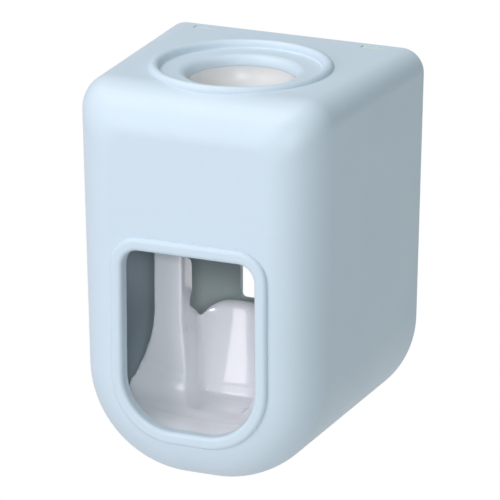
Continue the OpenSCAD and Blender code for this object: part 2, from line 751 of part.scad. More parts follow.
// Inner side of a leg: its flange, the bulge and the hollow that runs into the pocket's wall
module leg_side() {
    bulge = -(lever_front - 7.2);
    waist = -(lever_front - 5.4);
    side_end = -(tongue_depth + 3.4);
    side_low = tongue_top - 6.4;
    side_top = tongue_top - 2.2;
    bulge_low = tongue_top + 4.1;
    bulge_h = 10.5;
    bulge_top = bulge_low + bulge_h;
    hollow_r = 2.4;
    bulge_r = 3.2;
    sideways(leg_in, leg_in + side_t) difference() {
        union() {
            translate([-lever_front, side_low]) square([flange_d, leg_top - side_low]);
            translate([-lever_front, side_low]) square([side_end + lever_front, side_top - side_low]);
            polygon([[-lever_front, side_low + lever_t], [waist, side_low + lever_t], [waist, side_top + 2.3],
                     [bulge, bulge_low], [-lever_front, bulge_low]]);
            translate([-lever_front, bulge_low - 0.5])
                square([bulge + lever_front, bulge_h - bulge_r + 0.5]);
            translate([-lever_front, bulge_low - 0.5])
                square([bulge + lever_front - bulge_r, bulge_h + 0.5]);
            translate([bulge - bulge_r, bulge_top - bulge_r]) circle(bulge_r);
        }
        translate([waist + hollow_r, side_top]) circle(hollow_r);
    }
}

// Hinge eye on the leg's inner side
module eye() sideways(eye_in, eye_out) {
    translate([pivot_y, pivot_z]) circle(eye_r);
    translate([-lever_front, leg_top - flange_d])
        square([pivot_y + lever_front, pivot_z - leg_top + flange_d]);
}

// Section of the pan: depth along Y, distance from the axis along X
module pan_section() {
    function far(s) = pan_axis_z - floor_at(s);
    tilt = atan(pan_slope);
    hollow_x = far(blend_s) - blend_r / cos(tilt);
    meet = blend_s + blend_r * sin(tilt);
    lip = 0.5;
    difference() {
        polygon([[far(floor_back), floor_back], [far(pan_back), pan_back], [hollow_x, pan_back], [hollow_x, meet],
                 [far(meet), meet], [far(pan_front - lip), pan_front - lip], [far(pan_front) + lip, pan_front],
                 [far(pan_front) + pan_t - lip, pan_front], [far(pan_front - lip) + pan_t, pan_front - lip],
                 [far(floor_back) + pan_t, floor_back]]);
        translate([hollow_x, blend_s]) circle(blend_r);
    }
}

module pan_plan() {
    front = pan_front - pan_corner;
    translate([-pocket_low - side_t, floor_back]) square([2 * (pocket_low + side_t), pan_back - floor_back + 2]);
    translate([-pan_half + pan_corner, pan_back]) square([2 * (pan_half - pan_corner), pan_front - pan_back]);
    translate([-pan_half, pan_back]) square([2 * pan_half, front - pan_back]);
    for (m = [-1, 1]) translate([m * (pan_half - pan_corner), front]) circle(pan_corner);
}

// Pan: a shallow trough that rises to the back and sweeps up into the legs
module pan() difference() {
    half_angle = asin((pan_half + 1) / pan_sag) + 0.5;
    intersection() {
        translate([0, 0, pan_axis_z]) rotate([90, 0, 0]) rotate([0, 0, -90 - half_angle])
            rotate_extrude(angle = 2 * half_angle, $fn = 180) pan_section();
        mirror([0, 1, 0]) translate([0, 0, pan_z - 2 * pan_t]) linear_extrude(shell_h / 4) pan_plan();
    }
    upright(pan_back - cut, pan_front) difference() {
        pocket_shape(0, tongue_top + tongue_r);
        translate([0, pan_axis_z]) difference() {
            circle(pan_sag + 3 * pan_t, $fn = 180);
            circle(pan_axis_z - floor_at(lever_front) - 0.4, $fn = 180);
        }
    }
}

presser_z0 = bladder_end + 2;
presser_z1 = bladder_top - flange_t - ring_h - 1.8;
presser_back = port_y - bladder_r - 0.3;
presser_half = 7;
bar_depth = 3.2;
peg_r = 1.3;
peg_cap = 1;
presser_pegs = [presser_z0 + 2.2, presser_z1 - 2.2];

// Push lever: legs, pocket, tongue, pan and the bar that carries the presser
module push_lever() color([0.93, 0.93, 0.95]) place() difference() {
    union() {
        front_plate();
        pocket_walls();
        tongue();
        both_sides() leg_side();
        both_sides() sideways(leg_out - side_t, leg_out)
            translate([-lever_front, flare_top]) square([flange_d, leg_top - flare_top]);
        both_sides() eye();
        translate([-leg_in - 1, -lever_front, presser_z0])
            cube([2 * leg_in + 2, bar_depth, presser_z1 - presser_z0]);
        pan();
    }
    both_sides() rod_x(eye_in - cut, eye_out + cut, pivot_y, pivot_z, pin_r + fine);
    for (z = presser_pegs)
        rod_y(0, z, peg_r + fine, lever_front - bar_depth - cut, lever_front - peg_cap);
}

// Shoe with a rounded face that squeezes the bladder
module bladder_presser() color([0.86, 0.88, 0.90]) place() {
    face = -presser_back;
    back = lever_front - bar_depth;
    r = 1.2;
    sideways(-presser_half, presser_half) {
        translate([-back, presser_z0]) square([back - face - r, presser_z1 - presser_z0]);
        translate([-back, presser_z0 + r]) square([back - face, presser_z1 - presser_z0 - 2 * r]);
        for (z = [presser_z0 + r, presser_z1 - r]) translate([-face - r, z]) circle(r);
    }
    for (z = presser_pegs) rod_y(0, z, peg_r, back - peg_cap, lever_front - peg_cap);
}

// Stepped pins: head outside the cheek, shank through cheek, spring and eye
module pivot_pins() color([0.74, 0.75, 0.77]) place() both_sides() {
    head = 1.2;
    rod_x(eye_in - head / 2, cheek_out, pivot_y, pivot_z, pin_r);
    rod_x(cheek_out, cheek_out + head, pivot_y, pivot_z, pin_r + head);
}

// Torsion springs: an arm on the stop bar, the coil, and an arm that leans down behind the leg

coil_clear = 0.4;
arm_lean = 22;
coil_sweep = coil_turns + 0.75 + arm_lean / 360;
coil_x0 = eye_out + coil_clear + wire_r;
coil_x1 = cheek_in - coil_clear - wire_r;

// Point of the coil's middle line, at step k of n
function coil_point(k, n) = let (a = -90 + 360 * coil_sweep * k / n)
    [coil_x0 + (coil_x1 - coil_x0) * k / n, pivot_y + coil_r * cos(a), pivot_z + coil_r * sin(a)];

coil_rings = ceil(8 * coil_sweep);
coil_line = [for (k = [0:coil_rings]) coil_point(k, coil_rings)];
spring_line = concat([coil_line[0] + [0, -arm_fore, 0]], coil_line,
                     [coil_line[coil_rings] + arm_down * [0, sin(arm_lean), -cos(arm_lean)]]);

// Least gap between two turns of the coil, measured on points
function turn_gap(n) = min([for (i = [0:n], j = [i:n]) if (j - i > n / coil_sweep / 2)
    norm(coil_point(i, n) - coil_point(j, n))]) - 2 * wire_r;

echo("least gap between the spring's turns", turn_gap(90));

function unit(v) = v / norm(v);

// Six-sided section square to the wire at point i
function wire_ring(i) = let (
        last = len(spring_line) - 1,
        t = unit(spring_line[min(i + 1, last)] - spring_line[max(i - 1, 0)]),
        u = unit(cross(t, [1, 0, 0])),
        v = cross(t, u))
    [for (a = [0:60:300]) spring_line[i] + wire_r * (cos(a) * u + sin(a) * v)];

module return_springs() color([0.70, 0.71, 0.73]) place() both_sides()
    through([for (i = [0:len(spring_line) - 1]) wire_ring(i)]);

// Rubber buttons in the stop bar, in front of the legs
module stop_bumpers() color([0.25, 0.26, 0.27]) place() both_sides() {
    rod_y(bumper_x, bumper_z, bumper_r, lever_front + bumper_air, -bar_back);
    rod_y(bumper_x, bumper_z, bumper_stem_r, lever_front + 2 * bumper_air, -bar_back + bumper_pocket - fine);
}

// Hanger: plate on the wall, neck through the cover and head behind it
module wall_hanger() color([0.90, 0.92, 0.94]) place() {
    back = pad_t - wall_gap;
    face = back + plate_t;
    low = hanger_mid - plate_h / 2;
    lap = 0.5;
    upright(back, face) round_rect(plate_w, low, low + plate_h, plate_round);
    upright(face - fine, cover_front + head_gap) round_rect(neck_w, hang_bottom, hang_top, neck_round);
    upright(cover_front + head_gap, cover_front + head_gap + head_t)
        round_rect(head_w, hang_bottom - lap, hang_top + lap, plate_round);
}

module adhesive_pad() color([0.30, 0.31, 0.33]) place() {
    low = hanger_mid - plate_h / 2;
    rim = 0.5;
    upright(-wall_gap, pad_t - wall_gap)
        round_rect(plate_w - 2 * rim, low + rim, low + plate_h - rim, plate_round - rim);
}

shell();
back_cover();
cover_screws();
socket_cup();
neck_seal();
seal_ring();
inlet_valve();
pump_frame();
frame_screws();
pump_bladder();
clamp_ring();
outlet_nozzle();
outlet_valve();
nozzle_cap();
push_lever();
bladder_presser();
pivot_pins();
return_springs();
stop_bumpers();
wall_hanger();
adhesive_pad();
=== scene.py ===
"""Wall-hung toothpaste dispenser with a push lever: looks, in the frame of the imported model."""
import json
import math

import bmesh
import bpy
from mathutils import Matrix, Vector


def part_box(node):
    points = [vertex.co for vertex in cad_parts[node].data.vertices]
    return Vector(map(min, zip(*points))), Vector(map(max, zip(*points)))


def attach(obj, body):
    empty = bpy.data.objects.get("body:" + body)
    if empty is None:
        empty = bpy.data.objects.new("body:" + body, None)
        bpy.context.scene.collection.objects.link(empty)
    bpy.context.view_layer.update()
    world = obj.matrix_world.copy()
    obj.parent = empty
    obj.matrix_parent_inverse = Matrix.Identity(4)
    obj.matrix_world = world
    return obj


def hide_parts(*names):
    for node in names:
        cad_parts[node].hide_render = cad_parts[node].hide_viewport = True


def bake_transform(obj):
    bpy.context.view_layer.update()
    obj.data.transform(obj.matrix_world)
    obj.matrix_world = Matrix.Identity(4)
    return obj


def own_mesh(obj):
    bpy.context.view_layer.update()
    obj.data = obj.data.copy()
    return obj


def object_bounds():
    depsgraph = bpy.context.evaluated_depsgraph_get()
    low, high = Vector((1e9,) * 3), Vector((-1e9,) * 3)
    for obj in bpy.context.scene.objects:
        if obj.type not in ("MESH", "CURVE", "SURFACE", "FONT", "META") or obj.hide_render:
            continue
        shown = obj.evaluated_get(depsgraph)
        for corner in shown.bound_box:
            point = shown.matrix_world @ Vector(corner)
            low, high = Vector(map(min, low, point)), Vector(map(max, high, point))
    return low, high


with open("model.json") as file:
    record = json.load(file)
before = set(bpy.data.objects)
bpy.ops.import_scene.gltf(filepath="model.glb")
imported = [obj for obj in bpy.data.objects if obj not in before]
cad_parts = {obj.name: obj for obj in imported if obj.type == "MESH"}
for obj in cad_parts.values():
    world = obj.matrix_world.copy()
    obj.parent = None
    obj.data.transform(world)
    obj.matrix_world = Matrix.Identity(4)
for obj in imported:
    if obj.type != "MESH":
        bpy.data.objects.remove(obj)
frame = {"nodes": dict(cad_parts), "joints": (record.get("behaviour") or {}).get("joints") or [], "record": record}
cad_low, cad_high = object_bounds()

# Sizes of the housing in millimetres. X is to the right, Y runs from the front back to the open
# back at 0, and Z runs up from where the belly would end without its round-over.
# A depth is a distance forward of the open back.

MM = 0.001
LIP_H = 1.3
RIM_H = 1.35
shell_low, shell_high = (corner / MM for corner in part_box("shell"))
SHELL_W = 77.5
SHELL_D = shell_high.y - shell_low.y - RIM_H
SHELL_H = 109.2
ORIGIN = Vector((0, shell_high.y, shell_high.z - SHELL_H - LIP_H))
WALL = 2.2
SEAT_WALL = 1.3
COVER_FRONT = 4.3
EDGE_ROUND = 12.6
EDGE_DEPTH = 14.0
FRONT_DRAW = 2.8
BOTTOM_DRAW = 2.6

RECESS_Z = SHELL_H - 0.9
COLLAR_LOW = RECESS_Z - 3
PORT_DEPTH = 0.51 * SHELL_D
LIP_R = 25.0
LIP_W = 2.8
PORT_R = 14.6
PORT_EDGE = 2.7

WIN_W = 38.9
WIN_LOW = 15.6
WIN_TOP = 65.5
WIN_R_LOW = 14.6
WIN_R_TOP = 4.8
RIM_W = 3.6
RIM_ROUND = 1.2

LEVER_FRONT = PORT_DEPTH + 14.4
PIVOT_DEPTH = LEVER_FRONT - 4.5
POST_R = 3.2
POST_X = 27.1
POST_ROWS = (LEVER_FRONT, PORT_DEPTH - 17.6)
SCREW_R = 1.25
COVER_SCREW_X = 22.0
COVER_SCREW_Z = 18.0

# Points of a mesh that lie closer than this are one, in millimetres
MERGE = 0.004


def at(x, y, z):
    """A point in the housing's millimetres, as metres in the row frame."""
    return (Vector((x, y, z)) + ORIGIN) * MM


def add_object(name, data):
    """An object in the scene that holds a mesh, a lamp or a camera."""
    obj = bpy.data.objects.new(name, data)
    bpy.context.scene.collection.objects.link(obj)
    return obj


# Camera: the point it looks at, its azimuth, elevation and roll, and how far away it is in metres

CAMERA_AIM = (2.159, -34.886, 57.554)
CAMERA_TURN = (24.398, 17.752, -0.126)
CAMERA_AWAY = 1.5
CAMERA_LENS = 397.32
CAMERA_SENSOR = 36


def set_camera():
    """A long lens that looks down at the front and the right side."""
    azimuth, elevation, roll = (math.radians(angle) for angle in CAMERA_TURN)
    back = Vector((math.sin(azimuth) * math.cos(elevation),
                   -math.cos(azimuth) * math.cos(elevation), math.sin(elevation)))
    right = Vector((math.cos(azimuth), math.sin(azimuth), 0))
    up = back.cross(right)
    turned_right = math.cos(roll) * right + math.sin(roll) * up
    turned_up = math.cos(roll) * up - math.sin(roll) * right
    data = bpy.data.cameras.new("camera")
    data.sensor_width = CAMERA_SENSOR
    data.lens = CAMERA_LENS
    data.clip_start, data.clip_end = 0.1, 20
    camera = add_object("camera", data)
    turn = Matrix((turned_right, turned_up, back)).transposed().to_4x4()
    camera.matrix_world = Matrix.Translation(at(*CAMERA_AIM) + CAMERA_AWAY * back) @ turn
    bpy.context.scene.camera = camera


set_camera()


# Node trees

def feed(tree, socket, value):
    """Sets a node's input, or links it to a Number, a socket or a node's first output."""
    if isinstance(value, Number):
        value = value.socket
    elif isinstance(value, bpy.types.Node):
        value = value.outputs[0]
    if isinstance(value, bpy.types.NodeSocket):
        tree.links.new(value, socket)
    else:
        socket.default_value = value


def add_node(tree, kind, settings=(), **inputs):
    """A node; settings are its own options, inputs its sockets by name."""
    node = tree.nodes.new(kind)
    for key, value in dict(settings).items():
        setattr(node, key, value)
    for key, value in inputs.items():
        feed(tree, node.inputs[key.replace("_", " ")], value)
    return node


def feed_all(tree, node, *values):
    """Feeds a node's inputs in their order."""
    for socket, value in zip(node.inputs, values):
        feed(tree, socket, value)
    return node


class Number:
    """A value in a node tree, so that a formula can be written as plain arithmetic."""

    def __init__(self, tree, socket):
        self.tree = tree
        self.socket = socket

    def reckon(self, kind, *others):
        """What one math node makes of this number and the others."""
        node = add_node(self.tree, "ShaderNodeMath", {"operation": kind})
        return Number(self.tree, feed_all(self.tree, node, self, *others).outputs[0])

    def __add__(self, other):
        return self.reckon("ADD", other)

    __radd__ = __add__

    def __mul__(self, other):
        return self.reckon("MULTIPLY", other)

    __rmul__ = __mul__

    def __sub__(self, other):
        return self.reckon("SUBTRACT", other)

    def __rsub__(self, other):
        return self * -1 + other

    def __truediv__(self, other):
        return self.reckon("DIVIDE", other)

    def above(self, other):
        return self.reckon("GREATER_THAN", other)

    def below(self, other):
        return self.reckon("LESS_THAN", other)

    def at_least(self, other):
        return self.reckon("MAXIMUM", other)

    def at_most(self, other):
        return self.reckon("MINIMUM", other)


# Materials. Each noise has its scale and its detail; an edge starts to look worn at EDGE_START.

DRIFT_NOISE = (28.0, 3.0)
SPECKLE_NOISE = (900.0, 2.0)
SMUDGE_NOISE = (95.0, 5.0)
GRAIN_DETAIL = 2.0
GRAIN_STRENGTH = 0.5
EDGE_START = 0.52
EDGE_GAIN = 6.0


def surface_group():
    """Moulded finish: slow colour drift, fine speckle, uneven polish, worn edges and a bumpy grain."""
    tree = bpy.data.node_groups.new("moulded_finish", "ShaderNodeTree")
    face = tree.interface
    face.new_socket("Position", in_out="INPUT", socket_type="NodeSocketVector")
    face.new_socket("Colour", in_out="INPUT", socket_type="NodeSocketColor")
    for label in ("Drift", "Speckle", "Roughness", "Polish Change", "Edge Wear", "Grain Scale",
                  "Grain Depth"):
        face.new_socket(label, in_out="INPUT", socket_type="NodeSocketFloat")
    face.new_socket("Colour", in_out="OUTPUT", socket_type="NodeSocketColor")
    face.new_socket("Roughness", in_out="OUTPUT", socket_type="NodeSocketFloat")
    face.new_socket("Normal", in_out="OUTPUT", socket_type="NodeSocketVector")
    given = tree.nodes.new("NodeGroupInput").outputs

    def noise(scale, detail):
        """A noise at the object's own place, from 0 to 1."""
        node = add_node(tree, "ShaderNodeTexNoise", Vector=given["Position"], Scale=scale, Detail=detail)
        return Number(tree, node.outputs["Fac"])

    edge = Number(tree, tree.nodes.new("ShaderNodeNewGeometry").outputs["Pointiness"])
    worn = ((edge - EDGE_START).at_least(0) * EDGE_GAIN).at_most(1) * given["Edge Wear"]
    drift = (noise(*DRIFT_NOISE) - 0.5) * given["Drift"]
    speckle = (noise(*SPECKLE_NOISE) - 0.5) * given["Speckle"]
    smudge = (noise(*SMUDGE_NOISE) - 0.5) * given["Polish Change"]
    tint = add_node(tree, "ShaderNodeVectorMath", {"operation": "SCALE"}, Scale=drift + speckle + worn + 1)
    feed(tree, tint.inputs[0], given["Colour"])
    bump = add_node(tree, "ShaderNodeBump", Strength=GRAIN_STRENGTH, Distance=given["Grain Depth"],
                    Height=noise(given["Grain Scale"], GRAIN_DETAIL))
    rough = Number(tree, given["Roughness"]) + smudge + worn
    add_node(tree, "NodeGroupOutput", Colour=tint, Roughness=rough, Normal=bump)
    return tree


MOULDED_FINISH = surface_group()


def finish(name, colour, rough, drift=0.05, speckle=0.03, polish=0.12, wear=0.04,
           grain=(1500.0, 0.012), **shader_values):
    """A material with the moulded finish. grain is its scale and its depth in millimetres, and
    shader_values are set on the shader's own sockets."""
    material = bpy.data.materials.new(name)
    material.use_nodes = True
    tree = material.node_tree
    shader = tree.nodes["Principled BSDF"]
    where = tree.nodes.new("ShaderNodeTexCoord")
    group = add_node(tree, "ShaderNodeGroup", {"node_tree": MOULDED_FINISH},
                     Position=where.outputs["Object"], Colour=(*colour, 1), Drift=drift, Speckle=speckle,
                     Roughness=rough, Polish_Change=polish, Edge_Wear=wear, Grain_Scale=grain[0],
                     Grain_Depth=grain[1] * MM)
    tree.links.new(group.outputs["Colour"], shader.inputs["Base Color"])
    tree.links.new(group.outputs["Roughness"], shader.inputs["Roughness"])
    tree.links.new(group.outputs["Normal"], shader.inputs["Normal"])
    for label, value in shader_values.items():
        shader.inputs[label.replace("_", " ")].default_value = value
    return material


MATERIALS = {
    "shell_blue": finish("shell_blue", (0.61, 0.71, 0.79), 0.46, drift=0.02, grain=(2400.0, 0.010)),
    # Painted light: the cover is the shell's blue plastic, here painted lighter and greener to stand in for the
    # light that barely reaches its inside face through the window.
    "cover_blue": finish("cover_blue", (0.665, 0.74, 0.74), 0.52, grain=(2400.0, 0.014)),
    "lever_white": finish("lever_white", (0.90, 0.90, 0.94), 0.2, polish=0.06, grain=(700.0, 0.003),
                          Coat_Weight=0.9, Coat_Roughness=0.02),
    "inner_white": finish("inner_white", (0.77, 0.76, 0.755), 0.36, grain=(2000.0, 0.010)),
    "silicone": finish("silicone", (0.72, 0.73, 0.73), 0.42, polish=0.2, grain=(900.0, 0.012),
                       Transmission_Weight=0.25, Subsurface_Weight=0.35, Subsurface_Scale=0.002),
    "screw_steel": finish("screw_steel", (0.62, 0.62, 0.63), 0.3, speckle=0.12, grain=(3000.0, 0.006),
                          Metallic=1.0),
    "pin_steel": finish("pin_steel", (0.66, 0.66, 0.67), 0.2, speckle=0.08, grain=(3500.0, 0.004),
                        Metallic=1.0, Anisotropic=0.4),
    "spring_steel": finish("spring_steel", (0.56, 0.56, 0.58), 0.26, speckle=0.1, grain=(4000.0, 0.006),
                           Metallic=1.0),
    "bumper_rubber": finish("bumper_rubber", (0.045, 0.046, 0.05), 0.72, speckle=0.2,
                            grain=(1800.0, 0.03), Sheen_Weight=0.15),
    "hanger_white": finish("hanger_white", (0.78, 0.81, 0.84), 0.44, grain=(2000.0, 0.014)),
    "foam_tape": finish("foam_tape", (0.06, 0.062, 0.068), 0.9, speckle=0.6, drift=0.2,
                        grain=(1300.0, 0.12), Sheen_Weight=0.2),
}
SLOT_OF = {part["node"]: part["material_slot"] for part in frame["record"]["subparts"]}
BODY_OF = {node: body for body, nodes in frame["record"]["behaviour"]["bodies"].items()
           for node in nodes}

for node_name, cad in frame["nodes"].items():
    cad.data.materials.clear()
    cad.data.materials.append(MATERIALS[SLOT_OF[node_name]])


# Meshes

def new_object(name, points, faces):
    """A mesh object from points in the housing's millimetres."""
    mesh = bpy.data.meshes.new(name)
    mesh.from_pydata([at(*point) for point in points], [], faces)
    return add_object(name, mesh)


def cad_copy(node, flat=None):
    """A CAD node's own shape as a new piece."""
    obj = add_object(node + "_piece", frame["nodes"][node].data.copy())
    return clean(obj, merge=0.002, flat=flat)


def modify(obj, name, kind, **settings):
    """Adds a modifier with its settings."""
    step = obj.modifiers.new(name, kind)
    for key, value in settings.items():
        setattr(step, key, value)


def settle(obj):
    """Turns what the modifiers give into the object's own plain mesh."""
    bpy.context.view_layer.update()
    depsgraph = bpy.context.evaluated_depsgraph_get()
    mesh = bpy.data.meshes.new_from_object(obj.evaluated_get(depsgraph), depsgraph=depsgraph)
    obj.modifiers.clear()
    obj.data = mesh
    return obj


def clean(obj, merge=MERGE, flat=None):
    """Merges doubles, turns faces outwards and, where flat is an angle, joins faces that lie flatter."""
    bm = bmesh.new()
    bm.from_mesh(obj.data)
    bmesh.ops.remove_doubles(bm, verts=bm.verts, dist=merge * MM)
    bmesh.ops.dissolve_degenerate(bm, edges=bm.edges, dist=0.5 * merge * MM)
    if flat is not None:
        bmesh.ops.dissolve_limit(bm, angle_limit=math.radians(flat), verts=bm.verts, edges=bm.edges)
    bmesh.ops.recalc_face_normals(bm, faces=bm.faces)
    bm.to_mesh(obj.data)
    bm.free()
    return obj


def smooth(obj, crease=35.0, even=True):
    """Smooth shading with sharp edges past the crease angle; even weighs it by face area."""
    bm = bmesh.new()
    bm.from_mesh(obj.data)
    for face in bm.faces:
        face.smooth = True
    for edge in bm.edges:
        edge.smooth = edge.calc_face_angle(0.0) < math.radians(crease)
    bm.to_mesh(obj.data)
    bm.free()
    if even:
        modify(obj, "even_normals", "WEIGHTED_NORMAL", keep_sharp=True)
        settle(obj)
    return obj


def combine(obj, kind, *others):
    """Cuts others from obj (DIFFERENCE) or fuses them to it (UNION), and removes them."""
    for other in others:
        modify(obj, "combine", "BOOLEAN", operation=kind, solver="MANIFOLD", object=other)
    settle(obj)
    for other in others:
        bpy.data.objects.remove(other)
    return obj


def dress(obj, node, body=None):
    """Gives a finished piece its material and body, and lets it stand for a CAD node."""
    slot = SLOT_OF[node]
    obj.data.materials.clear()
    obj.data.materials.append(MATERIALS[slot])
    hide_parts(node)
    if body is not None:
        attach(obj, body)
    return obj


def rounded(corners, steps=5):
    """A closed outline from corners (across, up, radius), each with an arc of its own radius."""
    outline = []
    for k, (across, up, radius) in enumerate(corners):
        here = Vector((across, up))
        if radius == 0:
            outline.append(here)
            continue
        before = (Vector(corners[k - 1][:2]) - here).normalized()
        after = (Vector(corners[(k + 1) % len(corners)][:2]) - here).normalized()
        half = before.angle(after) / 2
        centre = here + (before + after).normalized() * (radius / math.sin(half))
        first = here + before * (radius / math.tan(half)) - centre
        last = here + after * (radius / math.tan(half)) - centre
        sweep = math.pi - 2 * half
        for m in range(steps + 1):
            t = m / steps
            spread = (first * math.sin((1 - t) * sweep) + last * math.sin(t * sweep)) / math.sin(sweep)
            outline.append(centre + spread)
    return outline


def ring_faces(rings, around):
    """Faces between closed rings of equal length, each ring joined to the next."""
    return [(j * around + i, j * around + (i + 1) % around,
             (j + 1) * around + (i + 1) % around, (j + 1) * around + i)
            for j in range(rings - 1) for i in range(around)]


def lathe(name, corners, turns=128, axis=(0, PORT_DEPTH), steps=5):
    """A closed section (radius, height, corner radius) turned about an upright axis (x, depth)."""
    outline = rounded(corners, steps)
    points = []
    for k in range(turns + 1):
        angle = math.tau * k / turns
        points += [(axis[0] + p.x * math.cos(angle), p.x * math.sin(angle) - axis[1], p.y)
                   for p in outline]
    return clean(new_object(name, points, ring_faces(turns + 1, len(outline))))


def slab(name, near, far):
    """A solid between two equal closed outlines of points."""
    count = len(near)
    faces = ring_faces(2, count) + [tuple(range(count)), tuple(range(2 * count - 1, count - 1, -1))]
    return clean(new_object(name, near + far, faces))


def prism(name, outline, depth_0, depth_1):
    """A closed outline of (x, z) made solid between two depths."""
    return slab(name, *([(p[0], -depth, p[1]) for p in outline] for depth in (depth_0, depth_1)))


def block(name, low, high):
    """A plain block between two corners, for cutting and for hidden ribs."""
    outline = [(low[0], low[2]), (high[0], low[2]), (high[0], high[2]), (low[0], high[2])]
    return prism(name, outline, -low[1], -high[1])


def soften(node, edge):
    """A CAD node's own shape with its outer edges rounded, as a mould leaves them."""
    obj = cad_copy(node, flat=2.0)
    modify(obj, "soft_edges", "BEVEL", width=edge * MM, segments=2, angle_limit=math.radians(28.0),
           use_clamp_overlap=True)
    return smooth(clean(settle(obj), merge=0.001), crease=40.0)


# Geometry trees

class Shape:
    """A geometry node tree in the housing's millimetres, with named size inputs."""

    def __init__(self, name, **sizes):
        self.tree = bpy.data.node_groups.new(name, "GeometryNodeTree")
        face = self.tree.interface
        for label, value in sizes.items():
            face.new_socket(label, in_out="INPUT", socket_type="NodeSocketFloat").default_value = value
        face.new_socket("Geometry", in_out="OUTPUT", socket_type="NodeSocketGeometry")
        self.given = self.tree.nodes.new("NodeGroupInput").outputs

    def size(self, label):
        return Number(self.tree, self.given[label])

    def add(self, kind, settings=(), **inputs):
        """A geometry node; a tuple that holds a Number becomes a vector node."""
        for key, value in inputs.items():
            if isinstance(value, tuple) and any(isinstance(part, Number) for part in value):
                inputs[key] = feed_all(self.tree, add_node(self.tree, "ShaderNodeCombineXYZ"), *value)
        return add_node(self.tree, "GeometryNode" + kind, settings, **inputs)

    def index(self):
        return Number(self.tree, self.add("InputIndex").outputs[0])

    def join(self, *nodes):
        joined = self.add("JoinGeometry")
        for node in nodes:
            self.tree.links.new(node.outputs[0], joined.inputs[0])
        return joined

    def close(self, node, slot):
        """Ends the tree: to metres and to the row frame, real meshes only, and the material."""
        placed = self.add("Transform", Geometry=node, Translation=tuple(at(0, 0, 0)), Scale=(MM, MM, MM))
        real = self.add("RealizeInstances", Geometry=placed)
        painted = self.add("SetMaterial", Geometry=real, Material=MATERIALS[slot])
        add_node(self.tree, "NodeGroupOutput", Geometry=painted)
        return self

    def grow(self, name, **values):
        """A plain mesh object made by the tree with these sizes."""
        obj = add_object(name, bpy.data.meshes.new(name))
        modifier = obj.modifiers.new(self.tree.name, "NODES")
        modifier.node_group = self.tree
        for item in self.tree.interface.items_tree:
            if item.in_out == "INPUT" and item.name in values:
                modifier[item.identifier] = float(values[item.name])
        return settle(obj)


CORNER_STEPS = 24
EDGE_STEPS = 28


def body_shape():
    """The housing's rule: rings with four rounded corners, drawn in towards the front and the bottom.
    The rows of points run from the back's centre over its edge and its wall to the round-over's rows,
    which start at first_round, and end in the front's centre."""
    t = Shape("rounded_body", Width=SHELL_W, Height=SHELL_H, Depth=SHELL_D, Rear_Lift=4.2,
              Side_Draw=FRONT_DRAW, Bottom_Draw=BOTTOM_DRAW, Top_Round_Rear=6.5, Top_Round_Front=8.5,
              Belly_Across=31.5, Belly_Up=28.9, Skin=0.0, Back=0.0, Front=SHELL_D,
              Edge_Round=0.0, Edge_Depth=0.0, Rear_Edge=0.0)
    width, height, depth = t.size("Width"), t.size("Height"), t.size("Depth")
    skin, back, rear_edge = t.size("Skin"), t.size("Back"), t.size("Rear_Edge")
    around = 4 * (CORNER_STEPS + 1)
    first_round, corner_close = 3, 0.3
    rows = first_round + EDGE_STEPS + 2
    grid = t.add("MeshGrid", Vertices_X=rows, Vertices_Y=around + 1)
    index = t.index()
    row = (index / (around + 1)).reckon("FLOOR")
    step = (index - row * (around + 1)).reckon("MODULO", around)
    corner = (step / (CORNER_STEPS + 1)).reckon("FLOOR")
    angle = (corner + (step - corner * (CORNER_STEPS + 1)) / CORNER_STEPS) * (math.pi / 2)
    in_belly = corner.above(1.5)
    side = 1 - 2 * corner.above(0.5) * corner.below(2.5)

    swell = ((row - first_round) / EDGE_STEPS).at_least(0).at_most(1) * (math.pi / 2)
    rim_row, wall_row = row.below(first_round - 1.5), row.below(first_round - 0.5)
    front_s = t.size("Front") - t.size("Edge_Depth") * (1 - swell.reckon("SINE"))
    wall_s = back + rear_edge
    s = front_s + (wall_s - front_s) * wall_row - rear_edge * rim_row
    over = rear_edge * rim_row + t.size("Edge_Round") * (1 - swell.reckon("COSINE"))

    inset = skin + over
    share = s / depth
    wide = width / 2 - t.size("Side_Draw") * share - inset
    top = height - inset
    low = t.size("Rear_Lift") * (1 - share) + inset
    top_round = t.size("Top_Round_Rear") + (t.size("Top_Round_Front") - t.size("Top_Round_Rear")) * share
    top_round = (top_round - skin - over * corner_close).at_least(1)
    round_x = top_round + (t.size("Belly_Across") - inset - top_round) * in_belly
    round_z = top_round + (t.size("Belly_Up") - inset - top_round) * in_belly
    middle = top - round_z + (low + 2 * round_z - top) * in_belly
    z = middle + round_z * angle.reckon("SINE")
    x = side * (wide - round_x) + round_x * angle.reckon("COSINE")
    x = x * (1 - t.size("Bottom_Draw") * 2 / width * (height - z) / height)

    ring = row.above(0.5) * row.below(rows - 1.5)
    centre = height / 2
    placed = t.add("SetPosition", Geometry=grid,
                   Position=(x * ring, s * -1, centre + (z - centre) * ring))
    return t.close(t.add("MergeByDistance", Geometry=placed, Distance=MERGE), "shell_blue")


